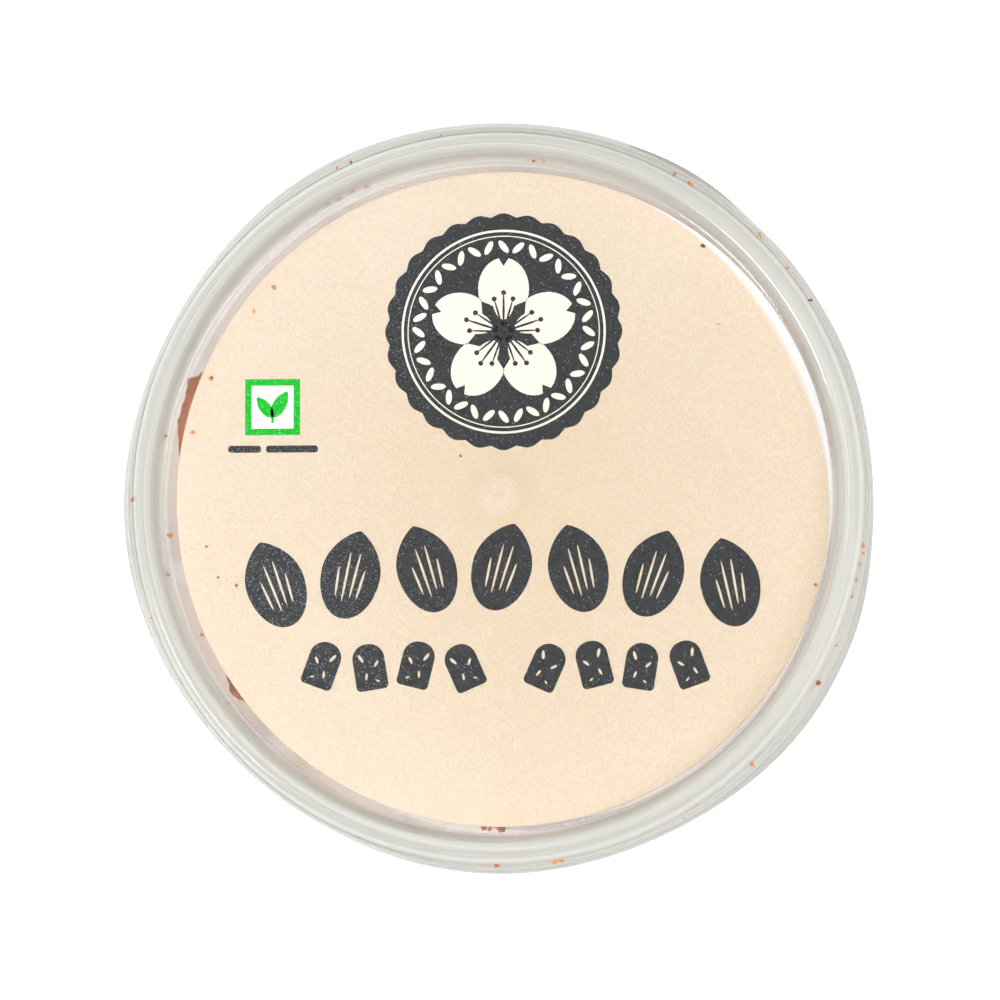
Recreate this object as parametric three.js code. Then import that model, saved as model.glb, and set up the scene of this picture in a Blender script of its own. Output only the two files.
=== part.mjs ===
// A round clear plastic tub of cake rusk, shut by a press-on lid with a printed label in its recess.
// Millimetres, +Z up. The origin is the middle of the tub's foot, on the surface that it stands on.
// Seen from above with +Y towards the top of the picture, the label reads the right way up.
import * as THREE from "three";

// Driving dimensions.
const LID_TOP = 96; // the rim's top, and the height of the whole pack
const RECESS_DEPTH = 6; // from the rim's top down to the lid's panel
const LID_WALL = 1; // thickness of the moulded lid
const SKIRT_RADIUS = 75.2; // the mean of the skirt's free edge, which is the widest line of the pack
const SKIRT_EDGE_Z = 83;
const SHOULDER_RADIUS = 74.1; // the ledge turns down into the skirt here, and the skirt flares from it
const CREASE_RADIUS = 73.2; // the rim's outer wall meets the ledge here
const RECESS_RADIUS = 67.3; // the foot of the recess wall
const RIM_INNER = 69; // the flat of the rim runs between these two radii
const RIM_OUTER = 71;
const TUB_WALL = 1.1;
const TUB_RIM_Z = 94.7; // the tub's rim stands inside the lid's channel
const FLOOR_TOP = 3;
const FLOOR_UNDERSIDE = 1.4;
const WALL_BASE_RADIUS = 66.6; // outside of the wall, just above the foot
const WALL_TOP_RADIUS = 68.6; // outside of the wall, just under the shoulder
const SHOULDER_Z = 78.6;
const FLANGE_RADIUS = 73.6; // the ledge under the lid's skirt
const FLANGE_Z = 81;
const LABEL_RADIUS = 65.3;
const LABEL_THICKNESS = 0.3;
const LABEL_SHIFT = new THREE.Vector2(1.1, -0.3); // it was stuck on a little off the middle
const RESTING_GAP = 0.3;

// One slice of rusk, as it stands: its long side upright, its cut faces to the front and back.
const SLICE = { thickness: 11.1, width: 30, height: 84, corner: 4, crown: 1.2, edge: 1.5 };
const SLICE_SPREAD = { thickness: 0.4, width: 0.6, height: 1.2 }; // what a slice may measure less
const SLICE_LIFT = 0.5; // clearance under a leaning slice

// The slices along the wall face it, and lean out with its draft. The first and the last, at the
// left, were pushed in when the others stood: they are further apart and further out than these,
// and turned a little, so the lid shows their edges.
const RING_COUNT = 11;
const RING_START = THREE.MathUtils.degToRad(205.3);
const RING_PITCH = THREE.MathUtils.degToRad(32.46);
const RING_HEAD = 63.6; // from the axis to the outer face, at the top of a slice and at its foot
const RING_FOOT = 61.4;
const PUSHED = {
  0: { out: 0.1, turn: THREE.MathUtils.degToRad(-3) },
  [RING_COUNT - 1]: { out: 1.45, turn: THREE.MathUtils.degToRad(4.2) },
};

// The slices in the middle stand upright in three rows.
const ROW_TURN = THREE.MathUtils.degToRad(-12);
const ROWS = [
  { across: 30.6, reach: 20.2, count: 3 },
  { across: 0, reach: 47.4, count: 7 },
  { across: -30.6, reach: 20.2, count: 3 },
];

const ROUND_SEGMENTS = 64;

const COLOURS = {
  tub: { color: 0xe3e5e0, roughness: 0.16, opacity: 0.35 },
  lid: { color: 0xdcddd8, roughness: 0.22, opacity: 0.5 },
  label: { color: 0xfce8d2, roughness: 0.6, opacity: 1 },
  rusk: { color: 0xc07a45, roughness: 0.9, opacity: 1 },
};

function finish(name) {
  const { color, roughness, opacity } = COLOURS[name];
  return new THREE.MeshStandardMaterial({
    color,
    roughness,
    metalness: 0,
    opacity,
    transparent: opacity < 1,
  });
}

function named(name, geometry, material) {
  const mesh = new THREE.Mesh(geometry, material);
  mesh.name = name;
  return mesh;
}

// Turns a profile of [radius, height] pairs about +Z.
function turned(profile) {
  const points = profile.map(([radius, height]) => new THREE.Vector2(radius, height));
  return new THREE.LatheGeometry(points, ROUND_SEGMENTS).rotateX(Math.PI / 2);
}

// Points along a round corner, from one angle to another in degrees.
function corner(radius, height, bend, from, to, steps = 3) {
  return Array.from({ length: steps + 1 }, (_, i) => {
    const angle = THREE.MathUtils.degToRad(from + ((to - from) * i) / steps);
    return [radius + bend * Math.cos(angle), height + bend * Math.sin(angle)];
  });
}

// The tub: recessed floor on a foot ring, a wall with a little draft, a shoulder with a flange that
// the lid stops against, and a wider collar whose bead the lid snaps over.
function tub() {
  const collar = 70.3;
  const bead = 70.9;
  const collarInside = 69.4;
  const innerTop = WALL_TOP_RADIUS - TUB_WALL;
  const innerBase = WALL_BASE_RADIUS - TUB_WALL;
  const footMiddle = 62.9;
  const footWidth = 2.6;
  const geometry = turned([
    [0, FLOOR_UNDERSIDE],
    [footMiddle - footWidth, FLOOR_UNDERSIDE],
    [footMiddle - footWidth / 2, 0],
    [footMiddle + footWidth / 2, 0],
    ...corner(WALL_BASE_RADIUS - 2, 2, 2, -70, 0, 2),
    [WALL_TOP_RADIUS, SHOULDER_Z],
    [WALL_TOP_RADIUS + 1, FLANGE_Z - 0.6],
    [FLANGE_RADIUS - 0.4, FLANGE_Z],
    [FLANGE_RADIUS, FLANGE_Z + 0.6],
    [FLANGE_RADIUS - 0.4, FLANGE_Z + 1.2],
    [collar + 0.6, FLANGE_Z + 1.3],
    [collar, FLANGE_Z + 2],
    [collar, TUB_RIM_Z - 2.1],
    [bead, TUB_RIM_Z - 1.5],
    [bead, TUB_RIM_Z - 0.5],
    [bead - 0.4, TUB_RIM_Z],
    [collarInside + 0.4, TUB_RIM_Z],
    [collarInside, TUB_RIM_Z - 0.4],
    [collarInside, FLANGE_Z + 0.7],
    [collarInside - 0.5, FLANGE_Z - 0.5],
    [innerTop + 0.4, SHOULDER_Z + 0.9],
    [innerTop, SHOULDER_Z],
    [innerBase, FLOOR_TOP + 2],
    [innerBase - 0.7, FLOOR_TOP + 0.6],
    [innerBase - 2, FLOOR_TOP],
    [0, FLOOR_TOP],
  ]);
  return named("tub", geometry, finish("tub"));
}

// The skirt is thin and free at its lower edge, so that edge runs in and out in soft lobes. A lobe's
// height is in millimetres, and its peak in degrees from +X.
const SKIRT_LOBES = [
  { count: 1, height: 0.58, peak: 92 },
  { count: 2, height: 0.38, peak: -47 },
  { count: 3, height: 0.4, peak: -41 },
  { count: 5, height: 0.37, peak: -28 },
  { count: 6, height: 0.1, peak: 15 },
  { count: 7, height: 0.13, peak: 18.5 },
];
const SHOULDER_SHARE = 0.3; // of the lobes that the shoulder follows

function skirtWave(angle) {
  const { degToRad } = THREE.MathUtils;
  return SKIRT_LOBES.reduce(
    (sum, { count, height, peak }) => sum + height * Math.cos(count * (angle - degToRad(peak))),
    0,
  );
}

// Moves the skirt in and out by its wave: nothing at the crease, a share of it at the shoulder, and
// all of it at the free edge.
function waveSkirt(geometry, shoulderZ) {
  const { clamp } = THREE.MathUtils;
  const place = geometry.getAttribute("position");
  for (let i = 0; i < place.count; i++) {
    const radius = Math.hypot(place.getX(i), place.getY(i));
    if (radius < CREASE_RADIUS) continue;
    const angle = Math.atan2(place.getY(i), place.getX(i));
    const across = clamp((radius - CREASE_RADIUS) / (SHOULDER_RADIUS - CREASE_RADIUS), 0, 1);
    const drop = clamp((shoulderZ - place.getZ(i)) / (shoulderZ - SKIRT_EDGE_Z), 0, 1);
    const share = SHOULDER_SHARE + (1 - SHOULDER_SHARE) * drop;
    const waved = radius + across * share * skirtWave(angle);
    place.setXY(i, waved * Math.cos(angle), waved * Math.sin(angle));
  }
  return geometry;
}

// The lid: a flat panel sunk in a rim that hooks over the tub's bead, with a ledge outside the rim
// and a skirt that hangs from the ledge.
function lid() {
  const panelTop = LID_TOP - RECESS_DEPTH;
  const panelUnderside = panelTop - LID_WALL;
  const channelTop = LID_TOP - LID_WALL;
  const ledgeTop = panelTop - 0.4;
  const snapRing = 70.75;
  const skirtInside = SKIRT_RADIUS - 0.9;
  const shoulderInside = SHOULDER_RADIUS - 0.9;
  const shoulderBend = 0.7;
  const mouthBend = 0.4; // of the rim's inner edge
  const geometry = turned([
    [0, panelUnderside],
    [RECESS_RADIUS - 0.2, panelUnderside],
    [RECESS_RADIUS + 0.6, panelUnderside + 0.3],
    [RECESS_RADIUS + 0.95, panelUnderside + 0.9],
    [RECESS_RADIUS + 1.65, channelTop - 0.8],
    [RIM_INNER + 0.2, channelTop],
    [RIM_OUTER - 0.4, channelTop + 0.05],
    [RIM_OUTER + 0.2, channelTop - 0.4],
    [RIM_OUTER + 0.25, panelTop + 2.4],
    [snapRing, panelTop + 1.9],
    [snapRing, panelTop + 1.2],
    [RIM_OUTER + 0.4, panelTop + 0.6],
    [RIM_OUTER + 1, panelUnderside - 0.1],
    [RIM_OUTER + 1.4, panelUnderside - 0.4],
    [shoulderInside - 0.3, panelUnderside - 0.5],
    [shoulderInside, panelUnderside - 1],
    [skirtInside, SKIRT_EDGE_Z],
    [SKIRT_RADIUS - 0.1, SKIRT_EDGE_Z],
    [SKIRT_RADIUS, SKIRT_EDGE_Z + 0.3],
    ...corner(SHOULDER_RADIUS - shoulderBend, ledgeTop - shoulderBend, shoulderBend, 0, 90, 3),
    [CREASE_RADIUS, ledgeTop],
    [CREASE_RADIUS - 0.3, ledgeTop + 0.3],
    ...corner(RIM_OUTER, LID_TOP - 1, 1, 0, 90, 3),
    ...corner(RIM_INNER, LID_TOP - mouthBend, mouthBend, 90, 180, 2),
    [RECESS_RADIUS + 0.1, panelTop + 0.6],
    [RECESS_RADIUS - 0.3, panelTop],
    [0, panelTop],
  ]);
  return named("lid", waveSkirt(geometry, ledgeTop), finish("lid"));
}

// The label: a round of printed film on the lid's panel.
function label() {
  const foot = LID_TOP - RECESS_DEPTH + RESTING_GAP;
  const geometry = turned([
    [0, foot],
    [LABEL_RADIUS, foot],
    [LABEL_RADIUS, foot + LABEL_THICKNESS],
    [0, foot + LABEL_THICKNESS],
  ]);
  const mesh = named("label", geometry, finish("label"));
  mesh.position.set(LABEL_SHIFT.x, LABEL_SHIFT.y, 0);
  return mesh;
}

// A slice's outline: one long side is the flat base crust, the other the crowned top crust.
function sliceOutline(width, height) {
  const half = width / 2;
  const { corner: bend, crown } = SLICE;
  const crownFoot = half - crown;
  const outline = new THREE.Shape();
  outline.moveTo(-half, bend);
  outline.lineTo(-half, height - bend);
  outline.absarc(bend - half, height - bend, bend, Math.PI, Math.PI / 2, true);
  outline.lineTo(crownFoot - bend, height);
  outline.absarc(crownFoot - bend, height - bend, bend, Math.PI / 2, 0, true);
  outline.quadraticCurveTo(crownFoot + 2 * crown, height / 2, crownFoot, bend);
  outline.absarc(crownFoot - bend, bend, bend, 0, -Math.PI / 2, true);
  outline.lineTo(bend - half, 0);
  outline.absarc(bend - half, bend, bend, -Math.PI / 2, -Math.PI, true);
  return outline;
}

// A slice stands on the origin with its cut faces towards -X and +X.
function sliceGeometry(thickness, width, height) {
  const depth = thickness - 2 * SLICE.edge;
  const geometry = new THREE.ExtrudeGeometry(sliceOutline(width, height), {
    depth,
    curveSegments: 2,
    bevelThickness: SLICE.edge,
    bevelSize: SLICE.edge,
    bevelOffset: -SLICE.edge,
    bevelSegments: 2,
  });
  const upright = new THREE.Matrix4().makeBasis(
    new THREE.Vector3(0, 1, 0),
    new THREE.Vector3(0, 0, 1),
    new THREE.Vector3(1, 0, 0),
  );
  return geometry.translate(0, 0, -depth / 2).applyMatrix4(upright);
}

// A seeded draw between 0 and 1, the same at each run.
function seededDraw(seed) {
  let state = seed;
  return () => {
    state = (state * 1664525 + 1013904223) % 4294967296;
    return state / 4294967296;
  };
}

// The rusk: slices stand round the wall and fill the middle, each its own size within a little.
function rusks() {
  const draw = seededDraw(23);
  const group = new THREE.Group();
  const material = finish("rusk");
  const slice = () => {
    const thickness = SLICE.thickness - SLICE_SPREAD.thickness * draw();
    const width = SLICE.width - SLICE_SPREAD.width * draw();
    const height = SLICE.height - SLICE_SPREAD.height * draw();
    const number = String(group.children.length + 1).padStart(2, "0");
    const mesh = named("rusk_" + number, sliceGeometry(thickness, width, height), material);
    mesh.position.z = FLOOR_TOP + SLICE_LIFT;
    return mesh;
  };
  const stand = (mesh, angle) => {
    const direction = new THREE.Group();
    direction.rotation.z = angle;
    group.add(direction.add(mesh));
  };
  for (let i = 0; i < RING_COUNT; i++) {
    const { out, turn } = PUSHED[i] ?? { out: 0, turn: 0 };
    const mesh = slice();
    mesh.position.x = RING_FOOT + out - SLICE.thickness / 2;
    mesh.rotation.order = "ZYX";
    mesh.rotation.y = Math.atan2(RING_HEAD - RING_FOOT, SLICE.height);
    mesh.rotation.z = turn;
    stand(mesh, RING_START + i * RING_PITCH);
  }
  for (const { across, reach, count } of ROWS) {
    const pitch = (2 * reach - SLICE.thickness) / (count - 1);
    for (let i = 0; i < count; i++) {
      const mesh = slice();
      mesh.position.x = (i - (count - 1) / 2) * pitch;
      mesh.position.y = across;
      stand(mesh, ROW_TURN);
    }
  }
  return group;
}

const pack = new THREE.Group();
pack.add(tub(), lid(), label(), rusks());

export default pack;
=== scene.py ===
# A shut round tub of cake rusk on a pale lit table, seen from above: clear moulded plastic, a printed
# film label sunk in the lid, and slices of rusk that stand inside. Metres, in the frame of the solids.
import math
import random

import bmesh
import bpy
import numpy as np
from mathutils import Matrix, Vector


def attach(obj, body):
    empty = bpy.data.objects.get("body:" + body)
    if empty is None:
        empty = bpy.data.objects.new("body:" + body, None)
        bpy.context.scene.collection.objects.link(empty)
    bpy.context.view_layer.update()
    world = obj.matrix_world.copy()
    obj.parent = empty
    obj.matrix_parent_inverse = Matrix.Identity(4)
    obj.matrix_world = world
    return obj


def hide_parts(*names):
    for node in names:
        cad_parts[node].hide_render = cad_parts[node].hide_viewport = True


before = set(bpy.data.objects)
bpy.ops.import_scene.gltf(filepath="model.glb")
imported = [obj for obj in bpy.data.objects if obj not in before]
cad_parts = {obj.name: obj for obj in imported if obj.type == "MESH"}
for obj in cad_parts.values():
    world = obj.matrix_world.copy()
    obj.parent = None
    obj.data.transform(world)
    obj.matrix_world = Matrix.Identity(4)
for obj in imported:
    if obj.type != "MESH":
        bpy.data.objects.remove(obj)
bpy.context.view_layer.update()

MM = 0.001

# Heights, radii and places of the pack, in millimetres.
RIM_TOP = 96
PANEL_TOP = 90
PANEL_WALL = 1
LEDGE_TOP = PANEL_TOP - 0.4
SKIRT_EDGE = 83
CREASE_RADIUS = 73.2
SHOULDER_RADIUS = 74.1
LABEL_TOP = 90.6
LABEL_FOOT = 90.3
LABEL_RADIUS = 65.3
LABEL_MIDDLE = (1.1, -0.3)
INK = 0.03  # thickness of a layer of ink
GATE = (0.35, 0.5)  # the mark that moulding left under the label
GATE_SPAN = 10  # the distance at the end of the table of tones about it
RADIUS_SPAN = 80  # the radius at the end of a table of haze or gloss
LID_WALL_TOP = 88.6  # the lid's wall is free below this
LIFTED_SIDE = math.radians(28)  # the way, from +X, in which the label lies too far over, and lifts

# The lift lip on the skirt: its middle and half width in degrees, and the radius where it begins.
LIP_ANGLE = 60
LIP_HALF_WIDTH = 10.5
LIP_INNER = 75


def smooth_step(low, high, value):
    share = np.clip((value - low) / (high - low), 0, 1)  # low above high makes it fall
    return share * share * (3 - 2 * share)


# ---------------------------------------------------------------- materials


def linear(code):
    """The linear colour of an sRGB hex code."""
    parts = [int(code[i : i + 2], 16) / 255 for i in (1, 3, 5)]
    return [c / 12.92 if c <= 0.04045 else ((c + 0.055) / 1.055) ** 2.4 for c in parts] + [1]


def grey(value):
    return (value, value, value, 1)


def add(tree, kind, sets=None, links=None, out=0, stops=(), **settings):
    """Adds a node and gives back one of its outputs. Settings are the node's own, sets are socket
    values, links are the outputs that feed it, and stops are a colour ramp's places and colours. Of a
    Map Range node, sockets 1 and 2 are the low and high ends it reads, and 3 and 4 those it gives; of
    a Mix node of colours, 6 and 7 are the two colours and 2 is its output."""
    made = tree.nodes.new("ShaderNode" + kind)
    for key, value in settings.items():
        setattr(made, key, value)
    for key, value in (sets or {}).items():
        made.inputs[key].default_value = value
    for key, source in (links or {}).items():
        tree.links.new(source, made.inputs[key])
    if stops:
        band = made.color_ramp
        while len(band.elements) < len(stops):
            band.elements.new(0.5)
        for element, (at, colour) in zip(band.elements, stops):
            element.position, element.color = at, colour
    return made.outputs[out] if made.outputs else None


def new_material(name):
    material = bpy.data.materials.new(name)
    material.use_nodes = True
    material.node_tree.nodes.clear()
    return material, material.node_tree


def finish(material, shader):
    add(material.node_tree, "OutputMaterial", links={"Surface": shader})
    return material


def way_round(tree, here, middle=(0, 0)):
    """The distance from an upright through middle, and the direction from it with no rise."""
    back = (-middle[0] * MM, -middle[1] * MM, 0)
    from_middle = add(tree, "VectorMath", {1: back}, {0: here}, operation="ADD")
    level = add(tree, "VectorMath", {1: (1, 1, 0)}, {0: from_middle}, operation="MULTIPLY")
    radius = add(tree, "VectorMath", links={0: level}, out="Value", operation="LENGTH")
    return radius, add(tree, "VectorMath", links={0: level}, operation="NORMALIZE")


def towards(tree, direction, angle):
    """How nearly a direction is the one at an angle: 1 there, 0 at right angles to it and beyond."""
    toward = add(tree, "VectorMath", {1: (math.cos(angle), math.sin(angle), 0)}, {0: direction}, out="Value",
                 operation="DOT_PRODUCT")
    return add(tree, "Math", {1: 0}, {0: toward}, operation="MAXIMUM")


def lift_lip(tree, radius, direction):
    """How far a point is on the skirt's lift lip: 1 on it, and less over the last fifth of its half width."""
    lip_end, lip_full = (math.cos(math.radians(share * LIP_HALF_WIDTH)) for share in (1, 0.8))
    along = add(tree, "MapRange", {1: lip_end, 2: lip_full, 3: 0, 4: 1},
                {0: towards(tree, direction, math.radians(LIP_ANGLE))})
    outside = add(tree, "MapRange", {1: LIP_INNER * MM, 2: (LIP_INNER + 0.12) * MM, 3: 0, 4: 1}, {0: radius})
    return add(tree, "Math", links={0: along, 1: outside}, operation="MULTIPLY")


def clear_polypropylene(name, haze, edge_haze, mirror_most, rings, wall_top, corner_gloss=0):
    """Natural polypropylene, injection moulded: colourless and clear in thin walls, with a milky
    haze that gathers in the thick rim and where a wall is seen edge on, and a soft gloss. The mould
    was turned, which leaves fine rings that show as streaks. Rings give the haze by radius. The free
    wall below wall_top, seen along its height, is painted grey as shade, in place of the dark that it
    would bend in from aside. Corner gloss is for the lid: its rounded corners shine at the lifted
    side, and its lift lip is dull, and painted dark grey as shade, for it hangs low in shadow."""
    material, tree = new_material(name)
    here = add(tree, "TexCoord", out="Object")
    z = add(tree, "SeparateXYZ", links={"Vector": here}, out="Z")
    radius, direction = way_round(tree, here)
    # Turning marks 0.5 mm apart, drawn coarser than the real ones so that they show. They run
    # round with the rim and fade in and out along it.
    slow = add(tree, "Math", {1: 0.25}, {0: z}, operation="MULTIPLY")
    ring_place = add(tree, "CombineXYZ", links={"X": radius, "Z": slow})
    fine = add(tree, "TexNoise", {"Scale": 1900, "Detail": 2, "Roughness": 0.6}, {"Vector": ring_place})
    fade = add(tree, "TexNoise", {"Scale": 28, "Detail": 1}, {"Vector": here})
    fade = add(tree, "MapRange", {1: 0.4, 2: 0.62, 3: 0.15, 4: 1}, {0: fade})
    marks = add(tree, "Math", {1: 0.5}, {0: fine}, operation="SUBTRACT")
    marks = add(tree, "Math", {2: 0.5}, {0: marks, 1: fade}, operation="MULTIPLY_ADD")
    waves = add(tree, "TexNoise", {"Scale": 90, "Detail": 2}, {"Vector": here})
    waves = add(tree, "Math", {1: 0.4}, {0: waves}, operation="MULTIPLY")
    relief = add(tree, "Math", {1: 0.3}, {0: marks, 2: waves}, operation="MULTIPLY_ADD")
    skin = add(tree, "Bump", {"Strength": 0.5, "Distance": 0.00012}, {"Height": relief})

    # The gloss, and how milky the plastic is.
    facing = add(tree, "LayerWeight", {"Blend": 0.5}, out="Facing")
    mirror = add(tree, "Math", {1: 5.0}, {0: facing}, operation="POWER")
    mirror = add(tree, "Math", {1: mirror_most, 2: 0.025}, {0: mirror}, operation="MULTIPLY_ADD")
    by_radius = add(tree, "Math", {1: 1 / (RADIUS_SPAN * MM)}, {0: radius}, operation="MULTIPLY")
    if corner_gloss:
        corners = add(tree, "ValToRGB", links={"Fac": by_radius},
                      stops=[(r / RADIUS_SPAN, grey(corner_gloss * share)) for r, share in CORNER_GLOSS])
        side = add(tree, "Math", {1: 8}, {0: towards(tree, direction, LIFTED_SIDE)}, operation="POWER")
        mirror = add(tree, "Math", links={0: corners, 1: side, 2: mirror}, operation="MULTIPLY_ADD")
    gathered = add(tree, "ValToRGB", links={"Fac": by_radius},
                   stops=[(r / RADIUS_SPAN, grey(share)) for r, share in rings])
    streaks = add(tree, "MapRange", {1: 0.3, 2: 0.7, 3: 0.8, 4: 1.2}, {0: marks})
    gathered = add(tree, "Math", links={0: gathered, 1: streaks}, operation="MULTIPLY")
    milky = add(tree, "Math", {1: 3.0}, {0: facing}, operation="POWER")
    milky = add(tree, "Math", {1: edge_haze, 2: haze}, {0: milky}, operation="MULTIPLY_ADD")
    milky = add(tree, "Math", links={0: milky, 1: gathered}, operation="ADD", use_clamp=True)

    # The colour of light that comes through, and of the milk.
    # Painted shade: where the free wall is seen edge on, its see-through and milky colours are painted grey.
    below = add(tree, "MapRange", {1: (wall_top + 0.3) * MM, 2: (wall_top - 0.3) * MM, 3: 0, 4: 1}, {0: z})
    painted_edge_shade = add(tree, "MapRange", {1: 0.5, 2: 0.8, 3: 0, 4: 1}, {0: facing})
    painted_edge_shade = add(tree, "Math", links={0: below, 1: painted_edge_shade}, operation="MULTIPLY")
    see_through = add(tree, "Mix", {6: linear("#f6f6f5"), 7: linear("#bfc2bd")}, {0: painted_edge_shade}, 2,
                      data_type="RGBA")
    cloudy = add(tree, "Mix", {6: linear("#f2f3ef"), 7: linear("#b4b7b1")}, {0: painted_edge_shade}, 2, data_type="RGBA")
    if corner_gloss:
        # Painted shade: the lift lip hangs low in shadow, so its see-through and milky colours are painted
        # dark grey. It is also duller and milkier.
        lip_and_painted_shade = lift_lip(tree, radius, direction)
        dull = add(tree, "Math", {0: 1}, {1: lip_and_painted_shade}, operation="SUBTRACT")
        mirror = add(tree, "Math", links={0: mirror, 1: dull}, operation="MULTIPLY")
        milky = add(tree, "Math", links={0: milky, 1: lip_and_painted_shade}, operation="MAXIMUM")
        see_through = add(tree, "Mix", {7: linear("#84877f")}, {0: lip_and_painted_shade, 6: see_through}, 2, data_type="RGBA")
        cloudy = add(tree, "Mix", {7: linear("#d4d6cf")}, {0: lip_and_painted_shade, 6: cloudy}, 2, data_type="RGBA")

    clear = add(tree, "BsdfTransparent", links={"Color": see_through})
    lit = add(tree, "BsdfDiffuse", links={"Color": cloudy})
    glow = add(tree, "BsdfTranslucent", links={"Color": cloudy})
    cloud = add(tree, "MixShader", {0: 0.55}, {1: lit, 2: glow})
    body = add(tree, "MixShader", links={0: milky, 1: clear, 2: cloud})
    gloss = add(tree, "BsdfGlossy", {"Color": grey(1), "Roughness": 0.1}, {"Normal": skin})
    return finish(material, add(tree, "MixShader", links={0: mirror, 1: body, 2: gloss}))


def from_gate(tree, here):
    """The way from the middle of the lid's gate mark, and the distance."""
    gate = (GATE[0] * MM, GATE[1] * MM, LABEL_TOP * MM)
    way = add(tree, "VectorMath", {1: gate}, {0: here}, operation="SUBTRACT")
    return way, add(tree, "VectorMath", links={0: way}, out="Value", operation="LENGTH")


def gate_relief(tree, here):
    """The film over the gate mark: a broad soft swelling, and faint wrinkles that run out from it."""
    way, distance = from_gate(tree, here)
    swell = add(tree, "MapRange", {1: 0, 2: 9 * MM, 3: 1, 4: 0}, {0: distance},
                interpolation_type="SMOOTHERSTEP")
    near = add(tree, "MapRange", {1: 3 * MM, 2: 20 * MM, 3: 1, 4: 0}, {0: distance},
               interpolation_type="SMOOTHSTEP")
    creases = add(tree, "TexNoise", {"Scale": 170, "Detail": 1, "Distortion": 0.6}, {"Vector": way})
    creases = add(tree, "Math", links={0: creases, 1: near}, operation="MULTIPLY")
    height = add(tree, "Math", {1: 0.45}, {0: creases, 2: swell}, operation="MULTIPLY_ADD")
    return add(tree, "Bump", {"Strength": 1, "Distance": 0.5 * MM}, {"Height": height})


def film_tone_and_painted_light(tree, here):
    """How pale the film is, from 0 to 1, with light and shade painted in. Paler towards its edge is
    painted light, for the light that comes up past the rusk, and paler to the upper left is painted
    light from the lamp that stands there. The gate mark leaves a pale ring with a deeper one about
    it: partly the stretched film, and partly the bump's light and shade, painted."""
    _, distance = from_gate(tree, here)
    # Painted light: paler towards the edge, for light that comes up past the rusk, and, by the slope, towards
    # the upper left, where the lamp stands.
    reach = add(tree, "MapRange", {1: 12 * MM, 2: 62 * MM, 3: 0.22, 4: 0.58}, {0: distance},
                interpolation_type="SMOOTHSTEP")
    lamp_side_painted_light = add(tree, "VectorMath", {1: (-1.8, 1.3, 0)}, {0: here}, out="Value", operation="DOT_PRODUCT")
    reach = add(tree, "Math", links={0: reach, 1: lamp_side_painted_light}, operation="ADD")
    # The gate mark's rings: stretched film, with the bump's light and shade painted in.
    share = add(tree, "Math", {1: 1 / (GATE_SPAN * MM)}, {0: distance}, operation="MULTIPLY")
    gate = add(tree, "ValToRGB", links={"Fac": share}, stops=[(at, grey(tone)) for at, tone in GATE_TONES])
    stretch_and_painted_shade = add(tree, "Math", {1: 0.5}, {0: gate}, operation="SUBTRACT")
    uneven = add(tree, "TexNoise", {"Scale": 210, "Detail": 2}, {"Vector": here})
    uneven = add(tree, "MapRange", {1: 0.35, 2: 0.65, 3: 0.4, 4: 1.8}, {0: uneven})
    pale = add(tree, "Math", links={0: stretch_and_painted_shade, 1: uneven, 2: reach}, operation="MULTIPLY_ADD")
    cloud = add(tree, "TexNoise", {"Scale": 22, "Detail": 2}, {"Vector": here})
    cloud = add(tree, "MapRange", {1: 0.3, 2: 0.7, 3: -0.12, 4: 0.12}, {0: cloud})
    return add(tree, "Math", links={0: pale, 1: cloud}, operation="ADD")


def lifted_edge_painted_glare(tree, here):
    """Where the film's edge lifts at the right, the mask of a painted white highlight for the lamp's
    glare on it: a crescent, 2.7 mm wide in its middle, that is whole in its outer 0.6 mm."""
    radius, direction = way_round(tree, here, LABEL_MIDDLE)
    width = add(tree, "Math", {1: 12}, {0: towards(tree, direction, LIFTED_SIDE)}, operation="POWER")
    inner = add(tree, "Math", {1: -2.7 * MM, 2: LABEL_RADIUS * MM}, {0: width}, operation="MULTIPLY_ADD")
    whole = add(tree, "Math", {1: -0.6 * MM, 2: (LABEL_RADIUS + 0.02) * MM}, {0: width},
                operation="MULTIPLY_ADD")
    return add(tree, "MapRange", {3: 0, 4: 1}, {0: radius, 1: inner, 2: whole},
               interpolation_type="SMOOTHSTEP")


def painted_film_glints(tree, here):
    """Painted glints: specks 0.15 mm across, for facets of the embossed film that would face the lamp:
    one in twelve at the left edge, where the lamp stands, and one in a hundred from near the middle on."""
    facets = add(tree, "TexVoronoi", {"Scale": 6500}, {"Vector": here}, out="Color")
    lot = add(tree, "SeparateXYZ", links={"Vector": facets}, out="X")
    x = add(tree, "SeparateXYZ", links={"Vector": here}, out="X")
    least = add(tree, "MapRange", {1: -55 * MM, 2: -10 * MM, 3: 0.92, 4: 0.99}, {0: x})
    return add(tree, "Math", links={0: lot, 1: least}, operation="GREATER_THAN")


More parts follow.
